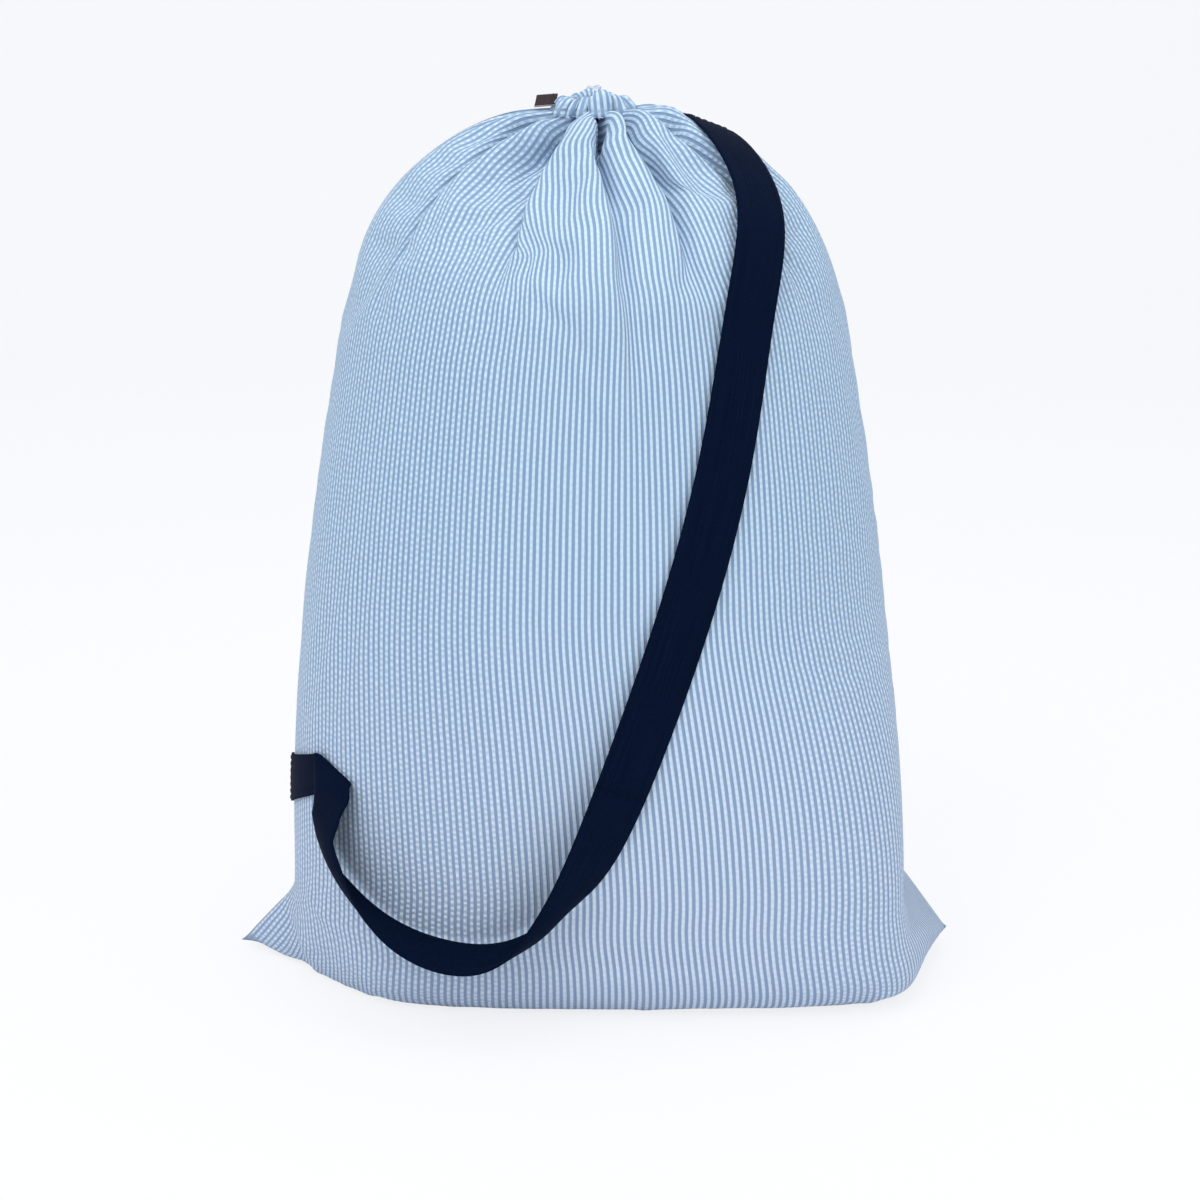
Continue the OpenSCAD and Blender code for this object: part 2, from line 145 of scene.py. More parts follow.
class Finish:
    """A material and the nodes in it."""

    def __init__(self, name, viewed):
        self.material = bpy.data.materials.new(name)
        self.material.use_nodes = True
        self.material.diffuse_color = (*viewed, 1)
        self.tree = self.material.node_tree
        self.tree.nodes.clear()

    def node(self, kind, settings=None, sockets=None, out=0, **named):
        """Adds a node whose sockets, by number or name, may be wires too, and gives one of its outputs."""
        plain = {name: value.socket if isinstance(value, Wire) else value
                 for name, value in {**(sockets or {}), **named}.items()}
        outputs = add_node(self.tree, "ShaderNode" + kind, settings, plain).outputs
        return Wire(self, outputs[out]) if outputs else None

    def flat(self):
        """Across and along the piece's own flat cloth, in millimetres."""
        uv = self.node("UVMap", {"uv_map": "flat"})
        return [self.node("SeparateXYZ", sockets={0: uv}, out=i) * 1000 for i in (0, 1)]

    def noise(self, place, scale, detail=2.0):
        return self.node("TexNoise", Vector=place, Scale=scale, Detail=detail)

    def grain(self, across, along, detail=2.0):
        """Noise by a place on the flat cloth."""
        return self.noise(self.node("CombineXYZ", X=across, Y=along), 1.0, detail)

    def mix(self, part, a, b, blend="MIX"):
        a, b = ((*c, 1) if isinstance(c, tuple) else c for c in (a, b))
        settings = {"data_type": "RGBA", "blend_type": blend}
        return self.node("Mix", settings, {0: part, 6: a, 7: b}, out=2)

    def bump(self, height, distance, strength):
        return self.node("Bump", Height=height, Distance=distance, Strength=strength)

    def surface(self, colour, roughness, normal, **constants):
        sockets = {"Base Color": colour, "Roughness": roughness, "Normal": normal}
        sockets.update({name.replace("_", " "): value for name, value in constants.items()})
        self.node("OutputMaterial", Surface=self.node("BsdfPrincipled", None, sockets))
        return self.material


def seersucker():
    """Fine white and blue stripes, woven so that the white ones pucker into small beads."""
    f = Finish("seersucker", (0.44, 0.57, 0.75))
    across, along = f.flat()
    wander = f.grain(across * 0.05, along * 0.05)
    turns = across / STRIPE + wander * 0.08
    white = turns.wave(1).band(-0.7, 0.4)
    # The puckers are plainest at the sides; the middle of the front is pulled smoother.
    stripe = (turns + 0.25).floor()
    drift = f.grain(stripe * 5.7, along * 0.06, 1.0)
    beads = (along / PUCKER + stripe * 0.5 + drift * 1.6).wave(1) * 0.5 + 0.5
    loose = 0.25 + 0.75 * (across - 30).abs().band(50, 170)
    puff = beads * loose + (1 - loose) * 0.7
    thread = f.grain(across * 2.2, along * 2.2)
    soft = f.grain(across * 0.012, along * 0.012)
    blue = f.mix(soft, (0.2, 0.31, 0.475), (0.23, 0.345, 0.51))
    # The white stripes are painted with shade in the hollows between their puckers and with light on their
    # crests, so on the whole they are painted a little darker at the sides, where the puckers are plainest.
    pale = f.mix(puff, (0.4, 0.545, 0.715), (0.62, 0.765, 0.89))
    colour = f.mix(white * (0.86 + thread * 0.2), blue, pale)
    # Towards the foot the cloth is a little warmer.
    foot = 1 - along.band(180, 520)
    colour = f.mix(foot * 0.5, colour, f.mix(1.0, colour, (1.2, 1.0, 0.98), "MULTIPLY"))
    height = white * (0.3 + puff * 0.7) + thread * 0.1
    return f.surface(colour, 0.86 - white * 0.06, f.bump(height, 0.0011, 0.8),
                     Sheen_Weight=0.15, Sheen_Roughness=0.5, Specular_IOR_Level=0.2)


def webbing():
    """Dark navy twill webbing: ribs across it, and long streaks of painted highlight where the warp catches
    light.
    """
    f = Finish("webbing", (0.01, 0.014, 0.035))
    across, along = f.flat()
    twill = (along * (tau / 1.9) + across.wave(3.2) * 1.4).sin()
    streak = f.grain(across * 0.9, along * 0.012, 3.0)
    edge = across.abs().band(17.2, 18.6)
    fibre = f.grain(across * 3.0, along * 3.0)
    # The warp's streaks are painted highlights where it catches light; fibre and twill are the webbing's own
    # tone, a little darker at its edges.
    shade = (streak.band(0.3, 0.75) * 0.6 + fibre * 0.25 + twill * 0.08) * (1 - edge * 0.4)
    colour = f.mix(shade, (0.0006, 0.0036, 0.016), (0.0022, 0.0085, 0.03))
    height = twill * 0.5 + streak * 0.7 + fibre * 0.3
    return f.surface(colour, 0.6 + fibre * 0.2, f.bump(height, 0.0003, 0.7), Specular_IOR_Level=0.03)


def spun(name, dark, light, roughness=0.8):
    """Twisted thread or cord, by the place on it."""
    f = Finish(name, light)
    place = f.node("TexCoord", out=3)
    fibre, broad = f.noise(place, 1400.0), f.noise(place, 90.0)
    colour = f.mix(fibre * 0.6 + broad * 0.4, dark, light)
    return f.surface(colour, roughness, f.bump(fibre, 0.0002, 0.6), Specular_IOR_Level=0.25)


def braid():
    """Plain cotton cord: two sets of strands that cross round it."""
    f = Finish("cotton_cord", (0.72, 0.78, 0.86))
    round_it, along = f.flat()
    turned, run = round_it * (tau / 3.1), along * (tau / 3.4)
    strands = ((turned + run).sin() * (turned - run).sin()).band(-0.6, 0.8)
    fibre = f.grain(round_it * 4.0, along * 4.0)
    # In the grooves between the strands the cord is painted darker: painted shade.
    colour = f.mix(strands * 0.8 + fibre * 0.2, (0.42, 0.49, 0.58), (0.72, 0.79, 0.87))
    return f.surface(colour, 0.85, f.bump(strands + fibre * 0.2, 0.0005, 0.8), Specular_IOR_Level=0.2)


def ribbon():
    """Dark woven ribbon, bare, with a paler woven edge."""
    f = Finish("woven_ribbon", (0.04, 0.014, 0.016))
    across, along = f.flat()
    weft, warp = along.wave(0.7), across.wave(0.55)
    grain = f.grain(across * 1.5, along * 1.5)
    edge = across.abs().band(7.5, 7.8)
    body = f.mix(grain * 0.7 + weft * warp * 0.15, (0.014, 0.006, 0.007), (0.04, 0.017, 0.018))
    colour = f.mix(edge, body, (0.45, 0.42, 0.44))
    return f.surface(colour, 0.7, f.bump(weft * warp, 0.00015, 0.6), Specular_IOR_Level=0.3)


CLOTH, WEBBING, CORD, RIBBON = seersucker(), webbing(), braid(), ribbon()
THREAD = spun("pale_thread", (0.42, 0.52, 0.66), (0.74, 0.82, 0.92))
DARK_THREAD = spun("navy_thread", (0.006, 0.009, 0.022), (0.02, 0.028, 0.06), 0.65)


# ---- places and lines

def unit(v):
    return v / np.linalg.norm(v, axis=-1, keepdims=True)


def gone_along(line):
    """The length of a line up to each of its points."""
    return np.concatenate([[0], np.cumsum(np.linalg.norm(np.diff(line, axis=0), axis=1))])


def around(count):
    """Angles evenly round a circle."""
    return np.linspace(0, tau, count, endpoint=False)


def ring_point(radius, angle, z):
    return np.array((radius * cos(angle), radius * sin(angle), z))


def flat_grid(across, along):
    """Flat places of a grid of points, row by row along the cloth."""
    return np.stack(np.meshgrid(across, along), -1)


# ---- making pieces

def made(name, points, faces, material, flat=None):
    """A piece from points in millimetres, faces, and flat places in millimetres for each point."""
    mesh = bpy.data.meshes.new(name)
    points = np.asarray(points, float).reshape(-1, 3) * MM
    mesh.from_pydata([tuple(p) for p in points], [], [tuple(int(i) for i in face) for face in faces])
    mesh.update()
    if flat is not None:
        layer = mesh.uv_layers.new(name="flat")
        corners = np.empty(len(mesh.loops), np.int32)
        mesh.loops.foreach_get("vertex_index", corners)
        flat = np.asarray(flat, np.float32).reshape(-1, 2)
        layer.data.foreach_set("uv", (flat[corners] * MM).ravel())
    mesh.polygons.foreach_set("use_smooth", np.ones(len(mesh.polygons), bool))
    mesh.materials.append(material)
    return shown(name, mesh)


def grid_faces(rows, cols, closed=False, start=0, flip=False):
    """Faces of a grid of points, row by row; closed joins its last column to its first."""
    faces = []
    for i in range(rows - 1):
        for j in range(cols if closed else cols - 1):
            a, b = start + i * cols + j, start + i * cols + (j + 1) % cols
            face = (a, b, b + cols, a + cols)
            faces.append(face[::-1] if flip else face)
    return faces


def capped_faces(rows, cols, start=0):
    """Faces of a tube of rings of points, with both of its ends closed."""
    first = range(start, start + cols)
    ends = [tuple(first)[::-1], tuple((rows - 1) * cols + j for j in first)]
    return grid_faces(rows, cols, True, start) + ends


def slab(name, outside, inside, flat, material):
    """A closed strip between two grids of points that have the same flat places."""
    rows, cols = outside.shape[:2]
    total = rows * cols
    faces = grid_faces(rows, cols) + grid_faces(rows, cols, start=total, flip=True)
    at = np.arange(total).reshape(rows, cols)
    rim = np.concatenate([at[0], at[1:, -1], at[-1, -2::-1], at[-2:0:-1, 0]])
    faces += [(b, a, a + total, b + total) for a, b in zip(rim, np.roll(rim, -1))]
    piece = made(name, np.concatenate([outside, inside]), faces, material, np.concatenate([flat, flat]))
    # Its edges are flat, so that two strips meet without a line between them.
    for i in range(len(faces) - len(rim), len(faces)):
        piece.data.polygons[i].use_smooth = False
    return piece


def tube(line, radius, sides, closed, offset=0):
    """Points, faces and flat places of a round tube along a line."""
    n = len(line)
    ahead = unit(np.roll(line, -1, 0) - np.roll(line, 1, 0) if closed else np.gradient(line, axis=0))
    aside = np.cross(ahead[0], (0.3, 0.2, 1.0))
    sides_at = []
    for t in ahead:
        aside = unit(aside - t * (aside @ t))
        sides_at.append(aside)
    faces = grid_faces(n, sides, True, offset) if closed else capped_faces(n, sides, offset)
    twist = 0
    if closed:
        last = sides_at[-1] - ahead[0] * (sides_at[-1] @ ahead[0])
        twist = atan2(np.cross(sides_at[0], last) @ ahead[0], sides_at[0] @ last)
        first, end = [(offset + j, offset + (j + 1) % sides) for j in range(sides)], (n - 1) * sides
        faces += [(end + a, end + b, b, a) for a, b in first]
    points = []
    for i in range(n):
        angle = (around(sides) - twist * (i / n))[:, None]
        ring = np.cos(angle) * sides_at[i] + np.sin(angle) * np.cross(ahead[i], sides_at[i])
        points.append(line[i] + radius * ring)
    return np.concatenate(points), faces, flat_grid(around(sides) * radius, gone_along(line)).reshape(-1, 2)


def tube_piece(name, material, line, radius, sides):
    points, faces, flat = tube(line, radius, sides, True)
    return made(name, points, faces, material, flat)


def dress(piece, body, node):
    if body:
        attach(piece, body)
    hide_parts(node)


# ---- stitches

# Pitch, length and thickness of the stitches.
HEM_STITCH, STRAP_STITCH, LABEL_STITCH = (5.4, 4.0, 0.8), (4.4, 3.4, 0.9), (4.2, 3.2, 0.7)


def stitch_tree():
    """Geometry nodes that lay plump stitches along every line of a curve."""
    tree = bpy.data.node_groups.new("stitches", "GeometryNodeTree")
    kinds = {"Geometry": "Geometry", "Thread": "Material"}
    for name in ("Geometry", "Pitch", "Length", "Thickness", "Thread"):
        tree.interface.new_socket(name, in_out="INPUT", socket_type="NodeSocket" + kinds.get(name, "Float"))
    tree.interface.new_socket("Geometry", in_out="OUTPUT", socket_type="NodeSocketGeometry")

    def node(kind, settings=None, **sockets):
        return add_node(tree, kind, settings, sockets).outputs

    given = node("NodeGroupInput")
    spots = node("GeometryNodeCurveToPoints", {"mode": "LENGTH"},
                 Curve=given["Geometry"], Length=given["Pitch"])
    size = node("ShaderNodeCombineXYZ", X=given["Thickness"], Y=given["Thickness"], Z=given["Length"])
    bead = node("GeometryNodeMeshUVSphere", Segments=8, Rings=6, Radius=0.5)
    along = node("FunctionNodeAlignRotationToVector", {"axis": "Z"}, Vector=spots["Tangent"])
    laid = node("GeometryNodeInstanceOnPoints", Points=spots["Points"], Instance=bead["Mesh"],
                Rotation=along["Rotation"], Scale=size["Vector"])
    real = node("GeometryNodeRealizeInstances", Geometry=laid["Instances"])
    smooth = node("GeometryNodeSetShadeSmooth", Geometry=real["Geometry"])
    dyed = node("GeometryNodeSetMaterial", Geometry=smooth["Geometry"], Material=given["Thread"])
    node("NodeGroupOutput", Geometry=dyed["Geometry"])
    return tree


STITCHES = stitch_tree()


def stitched(name, lines, thread, pitch, length, thickness):
    """A piece made of stitches along lines of points in millimetres."""
    curve = bpy.data.curves.new(name, "CURVE")
    curve.dimensions = "3D"
    for line in lines:
        spline = curve.splines.new("POLY")
        spline.points.add(len(line) - 1)
        spline.points.foreach_set("co", np.c_[np.asarray(line) * MM, np.ones(len(line))].ravel())
    holder = shown(name + "_lines", curve)
    nodes = holder.modifiers.new("stitches", "NODES")
    nodes.node_group = STITCHES
    values = {"Pitch": pitch * MM, "Length": length * MM, "Thickness": thickness * MM, "Thread": thread}
    for item in STITCHES.interface.items_tree:
        if item.in_out == "INPUT" and item.name in values:
            nodes[item.identifier] = values[item.name]
    ready = holder.evaluated_get(bpy.context.evaluated_depsgraph_get())
    mesh = bpy.data.meshes.new_from_object(ready)
    bpy.data.objects.remove(holder)
    return shown(name, mesh)


# ---- the bag's shape

# How square the bag's section is above, how much squarer at the foot of its left and right sides, and up to
# which level.
ROUND, SQUARER, SQUARE_TO = 2.2, (0.8, 4.6), (0.2, 0.6)


def lerp(a, b, s):
    return a + (b - a) * s


def share(v, low, high):
    """How far v has come from low to high, 0 to 1."""
    return np.clip((v - low) / (high - low), 0, 1)


def eased(s):
    return s * s * (3 - 2 * s)


def top_share(z):
    return share(z, SHOULDER_Z, NECK_Z)


def half_x(z):
    """Half the bag's width at a height, drawn in from the shoulders to the mouth."""
    wall = lerp(BAG_W, SHOULDER_W, np.maximum(0, (z - EAR_Z) / (SHOULDER_Z - EAR_Z)) ** 1.9) / 2
    return lerp(RING_R, wall, np.sqrt(1 - top_share(z) ** 2.6))


def foot_in(z):
    """How far the rounded foot is in from the wall at a height."""
    return FOOT_R - np.sqrt(np.maximum(FOOT_R ** 2 - np.maximum(FOOT_R - z, 0) ** 2, 0))


def half_y(z):
    """Half its depth, with a belly in the wall."""
    s = np.maximum(0, (z - FOOT_R) / (SHOULDER_Z - FOOT_R))
    wall = lerp(BAG_D, SHOULDER_D, s) / 2 + 4 * BELLY * s * (1 - s) - foot_in(z)
    return lerp(RING_R, wall, (1 - top_share(z) ** 2) ** 0.75)


def side(v, power):
    """A power of v that keeps its sign."""
    return np.sign(v) * np.abs(v) ** power


def height(level):
    return level * SHOULDER_Z if level < 1 else lerp(SHOULDER_Z, NECK_Z, level - 1)


def skin(angle, level):
    """A place on the bag's outside."""
    a, z = radians(angle), height(level)
    x, y = (side(v, 2 / ROUND) for v in (sin(a), cos(a)))
    return np.array([half_x(z) * x, -half_y(z) * y, z])


def facing(angle, level, turn=2, rise=0.02):
    """The way that the bag's outside looks at a place."""
    return unit(np.cross(skin(angle + turn, level) - skin(angle - turn, level),
                         skin(angle, level + rise) - skin(angle, level - rise)))


def off_skin(angle, level, gap):
    return skin(angle, level) + gap * facing(angle, level)


# ---- strap route

# The strap's run from the neck down: angle, level, share of its hang off the cloth, and the turn of its face
# in degrees. Between two rows are so many steps, and its upper end drops by this level.
STRAP_ROUTE = np.array([
    (91.6, 1.906, 0.1, 0), (77.7, 1.883, 0.1, 0), (66.4, 1.827, 0.1, 0), (56.3, 1.707, 0.1, 0),
    (49.8, 1.531, 0.125, 0), (41.8, 1.34, 0.125, 0), (35.5, 1.097, 0.125, 0), (30.6, 0.941, 0.125, 0),
    (27.1, 0.86, 0.125, 0), (22.3, 0.755, 0.125, 0), (16.7, 0.635, 0.125, 0), (9.8, 0.49, 0.167, -3),
    (3.2, 0.35, 0.36, -10), (-1, 0.24, 0.66, -24), (-6.5, 0.167, 0.93, -66), (-12.4, 0.127, 1, -91),
    (-20, 0.115, 1, -98), (-28.5, 0.126, 1, -94), (-37.3, 0.155, 1, -72), (-45.7, 0.197, 0.92, -49),
    (-51.4, 0.243, 0.78, -28), (-52.8, 0.285, 0.52, -10)])
STEPS, TAIL_DROP = 8, 0.055
# The corners of the diagonal fold, where the run bends towards it, where the sewn end lies, and how far off
# the cloth these are. Round the fold the webbing's rings get narrower.
FOLD_HIGH, FOLD_LOW, BEND = np.array([(-61, 0.36), (-47.6, 0.33), (-52, 0.318)])
SEAM_ANGLE, TAB_LEVEL, TAB_GAP = -89, 0.272, HALF_T + 0.6
FOLD_GAP, BEND_GAP = TAB_GAP + STRAP_T + 2.1, 7
FOLD_RINGS, FOLD_TAPER = 9, 0.07
# The run's two pieces meet at this step. For a swing, the upper one would bend over so many steps from the
# crest and the loop over this way from its fold.
LOOP_AT, SHOULDER_BEND, LOOP_BEND = 12 * STEPS, 34, np.array((86, -26, -43))
# Where the webbing turns edge on to the front it is cupped: how deep, at which step, over how many.
CUPS = (8, 17, 7), (7, 58, 10)


def smooth(rows, steps):
    """A smooth curve through rows of numbers, with this many steps between two of them."""
    n = len(rows) - 1
    out = []
    for i in range(n):
        a, b, c, d = (rows[min(max(i + k, 0), n)] for k in (-1, 0, 1, 2))
        for t in np.arange(steps) / steps:
            out.append(0.5 * (2 * b + (c - a) * t + (2 * a - 5 * b + 4 * c - d) * t ** 2
                              + (3 * b - a - 3 * c + d) * t ** 3))
    return np.array(out + [rows[n]])


def spot(p):
    return off_skin(p[0], p[1], p[2] * STRAP_HANG)


CREST = STRAP_ROUTE[0]
TAIL_TURN = TAIL_L / np.linalg.norm(spot(CREST + (1, 0, 0, 0)) - spot(CREST))
tail_places = [CREST + s * np.array((TAIL_TURN, -TAIL_DROP * s * s, 0, 0)) for s in (1, 0.5)]
strap_places = smooth(np.concatenate([tail_places, STRAP_ROUTE]), STEPS)
CREST_AT = len(tail_places) * STEPS


def evened(rows, reach=7, end=16):
    """Rows of numbers with the kinks between them eased, and both ends kept."""
    near = np.exp(-0.5 * (np.arange(-2 * reach, 2 * reach + 1) / reach) ** 2)
    line = np.pad(rows, ((2 * reach, 2 * reach), (0, 0)), "edge")
    soft = np.stack([np.convolve(column, near / near.sum(), "valid") for column in line.T], 1)
    ends = np.minimum(np.arange(len(rows)), np.arange(len(rows))[::-1])[:, None]
    return lerp(rows, soft, eased(share(ends, 0, end)))


strap_mid = evened(np.array([spot(p) for p in strap_places]))
strap_run = unit(np.gradient(strap_mid, axis=0))


def strap_faces():
    """The way that the webbing's face looks at each place on its run."""
    out = []
    for place, run in zip(strap_places, strap_run):
        level = facing(place[0], place[1])
        level = unit(level - run * (run @ level))
        turn = radians(place[3])
        out.append(level * cos(turn) + np.cross(run, level) * sin(turn))
    return np.array(out)


strap_face = evened(strap_faces())
strap_face = unit(strap_face - strap_run * np.sum(strap_run * strap_face, axis=1)[:, None])
strap_side = np.cross(strap_run, strap_face)
strap_gone = gone_along(strap_mid)


# ---- bag panels

# Folds that run into the mouth: a place across the panel, -1 to 1, a share of the cloth, and which
# way the fold tucks under its neighbour.
FRONT_FOLDS = np.array([(-0.92, 0.9, 0), (-0.66, 1.0, 0.3), (-0.3, 1.3, 0.7), (0.1, 0.8, -0.2),
                        (0.3, 1.2, -0.6), (0.63, 1.0, -0.3), (0.92, 0.9, 0)])
BACK_FOLDS = np.array([(-0.92, 0.9, 0), (-0.68, 1.0, 0.3), (-0.4, 1.1, 0.4), (-0.12, 0.9, -0.2),
                       (0.14, 1.2, 0.4), (0.42, 0.9, -0.3), (0.68, 1.1, -0.3), (0.92, 0.9, 0)])
# Where the slack passes from the puckers into the folds. One fold of the front starts as a tuck, low down.
GATHER_Z, TUCK_AT, TUCK_Z, TUCK_SIZE = (470, 610), 3, (280, 560), 0.36
# How far the cloth stands up between its folds next to the mouth, at the left and at the right, the places
# across that part these, and where below the mouth it begins and ends.
CREST_LIFT, LIFT_X, LIFT_FROM, LIFT_TO = (2, 8), (-30, 30), (0, 15), (20, 85)
# At the foot the cloth runs straight from this far left of the middle to the left corner. The floor's rows
# end so far up the seam of the left and of the right corner, and the corners so high.
FLAP_X, FLAP_Z, EAR_FLOOR, FLARE_Z = 140, (15, 80), (0.12, 0.5), 56
COLS, ROW_STEP, FINE = 90, 7.6, 1201
# The filling's sides, and the heights where its dome starts and ends.
FILL_SIDES, DOME_Z, FILL_Z = 96, 470, 592
# How long the cloth settles, how far below the mouth it touches itself, and how far from the bottom seam and
# from the corners it is held.
SETTLE_FRAMES, LOOSE_L, HELD_V, CORNER_R = 20, 330, (200, 480), 60
# Webbing that is turned less than this presses the cloth back to this gap. Beside it the cloth rises again,
# and this far from its middle it is free.
FLAT_TURN, PRESS_GAP, PRESS_RISE, PRESS_WIDE, PRESS_FADE, PRESS_NEAR = 25, 0.9, 16, 34, 40, 45


def panel_rows():
    """Rows from the bottom seam to the mouth: half width and height at the left seam, the same at the right,
    and half depth and height at the middle."""
    rows = []

    def ear_row(s, y, z):
        ends = []
        for floor, tilt in zip(EAR_FLOOR, (0, EAR_TILT)):
            e = floor * s if s < 1 else lerp(floor, 0.9, s - 1)
            ends += [BAG_W / 2 + EAR_REACH * (1 - e), lerp(EAR_LIFT, FLARE_Z, e) + tilt * (1 - e)]
        rows.append((*ends, y, z))

    for s in np.linspace(0, 1, 41):
        ear_row(s, s * (BAG_D / 2 - FOOT_R), 0.0)
    for s in np.linspace(0, 1, 31)[1:]:
        bend = pi / 2 * s
        ear_row(1 + s, BAG_D / 2 - FOOT_R + FOOT_R * sin(bend), FOOT_R * (1 - cos(bend)))
    top = lerp(SHOULDER_Z, NECK_Z, np.sin(np.linspace(0, radians(87.5), 121)[1:]))
    for z in np.concatenate([np.linspace(EAR_Z, SHOULDER_Z, 121), top]):
        rows.append((half_x(z), z, half_x(z), z, half_y(z), z))
    return np.array(rows, float)


def foot_power(z, turn):
    """How square the bag's section is at a height and a turn round it."""
    right = np.sin(turn) > 0
    squarer, up_to = (np.where(right, pair[1], pair[0]) for pair in (SQUARER, SQUARE_TO))
    return ROUND + squarer * np.sqrt(np.abs(np.sin(turn))) * (1 - eased(share(z / SHOULDER_Z, 0, up_to)))


def flap(x, y, depth, end, z):
    """Half depths along a row, held in to the straight edge at the left of the foot."""
    straight = depth * (end + x) / (end - FLAP_X)
    soft = 0.5 * (y + straight - np.sqrt((y - straight) ** 2 + 64 * share(x, -end, 30 - end)))
    return lerp(y, np.clip(soft, 0, y), (1 - eased(share(z, *FLAP_Z))) * (x < 0))


def row_curve(row):
    """The bag's outside along a row, from the left seam to the right one."""
    angle = np.linspace(-pi / 2, pi / 2, FINE)
    power = foot_power(row[5], angle)
    reach, high = (np.where(angle > 0, row[2 + k], row[k]) for k in (0, 1))
    x = reach * side(np.sin(angle), 2 / power)
    y = flap(x, row[4] * np.abs(np.cos(angle)) ** (2 / power), row[4], row[0], row[5])
    rise = share(np.abs(np.sin(angle)), 0.55, 1.0) ** 4
    return np.stack([x, -y, lerp(row[5], high, rise)], 1)


def fold_places(folds):
    """Where on the flat cloth the folds go in, and the crests between them with the cloth's two edges."""
    centres = folds[:, 0] * FLAT_W / 2
    return centres, np.concatenate([[-FLAT_W / 2], (centres[1:] + centres[:-1]) / 2, [FLAT_W / 2]])


def fold_slopes(u, folds, sizes):
    """How steeply the cloth dives into its folds along a row, each as wide as its size says."""
    slopes = np.zeros(len(u))
    centres, crests = fold_places(folds)
    for centre, left, right, size in zip(centres, crests, crests[1:], sizes):
        x = u - centre
        reach = np.where(x < 0, centre - left, right - centre) * max(size, 0.02)
        wave = np.sin(pi * np.clip(np.abs(x) / reach, 0, 1)) * min(4 * size, 1.5 + 12 * size ** 3)
        slopes += np.sign(x) * np.clip(wave, 0, 1) * 0.992
    return slopes


def panel_grid(folds, tuck_at=None):
    """A panel in its filled shape: cloth that is wider than the bag goes into folds, at its full length."""
    fine = panel_rows()
    gone = np.concatenate([[0], np.cumsum(np.hypot(np.diff(fine[:, 4]), np.diff(fine[:, 5])))])
    v = np.linspace(0, gone[-1], int(round(gone[-1] / ROW_STEP)) + 1)
    rows = np.stack([np.interp(v, gone, fine[:, k]) for k in range(6)], 1)
    u, uf = (np.linspace(-FLAT_W / 2, FLAT_W / 2, count) for count in (COLS + 1, FINE))
    du = uf[1] - uf[0]
    centres, crests = fold_places(folds)
    tuck = np.interp(uf, centres, folds[:, 2])
    curves = [row_curve(row) for row in rows]
    points = np.zeros((len(v), COLS + 1, 3))
    for i, curve in enumerate(curves):
        s = gone_along(curve)
        up = curves[min(i + 1, len(v) - 1)] - curves[max(i - 1, 0)]
        normal = np.cross(np.gradient(curve, axis=0), up)
        normal /= np.maximum(np.linalg.norm(normal, axis=1), 1e-9)[:, None]
        z, round_it = rows[i, 5], s[-1]
        # Low down the puckers take up the slack; towards the mouth the folds do.
        gather = eased(share(z, *GATHER_Z)) * (round_it < FLAT_W)
        target = round_it / lerp(round_it / FLAT_W, 0.97, gather)
        early = np.zeros(len(folds))
        if tuck_at is not None:
            early[tuck_at] = TUCK_SIZE * share(z, *TUCK_Z)
        low, high = 0.0, 1.4 * gather
        for _ in range(30):
            size = (low + high) / 2
            slopes = fold_slopes(uf, folds, np.maximum(np.minimum(size * folds[:, 1], 0.985), early))
            rate = np.sqrt(1 - slopes ** 2)
            low, high = (size, high) if rate[1:].sum() * du > target else (low, size)
        depth = np.concatenate([[0], np.cumsum((slopes[1:] + slopes[:-1]) / 2) * du])
        depth -= np.interp(uf, crests, np.interp(crests, uf, depth))
        at = np.concatenate([[0], np.cumsum((rate[1:] + rate[:-1]) / 2)])
        at = at * round_it / at[-1] - depth * tuck * gather
        at, dive = np.interp(u, uf, at), np.interp(u, uf, depth)
        for k in range(3):
            points[i, :, k] = np.interp(at, s, curve[:, k]) + np.interp(at, s, normal[:, k]) * dive
    return u, v, points


def filling():
    """The laundry that the cloth settles on: the bag's shape, a little smaller and without corners."""
    turn = around(FILL_SIDES)
    foot_z, wall_z = np.linspace(2.5, 60, 14), np.linspace(75, DOME_Z, 20)
    rings = []
    for z in np.concatenate([foot_z, wall_z, np.linspace(480, FILL_Z, 16)]):
        s = share(z, DOME_Z, FILL_Z)
        at = lerp(DOME_Z, NECK_Z, s) if z > DOME_Z else z
        power = foot_power(z, turn)
        hx, hy = (max(h - 4 - 8 * s, 3) for h in (half_x(at) - 0.4 * foot_in(z), half_y(max(at, 2.5))))
        x, y = hx * side(np.sin(turn), 2 / power), hy * side(np.cos(turn), 2 / power)
        y = np.sign(y) * flap(x, np.abs(y), hy, BAG_W / 2 + EAR_REACH - 12, z)
        rings.append(np.stack([x, -y, np.full(FILL_SIDES, z)], 1))
    return made("filling", np.concatenate(rings), capped_faces(len(rings), FILL_SIDES), CLOTH)


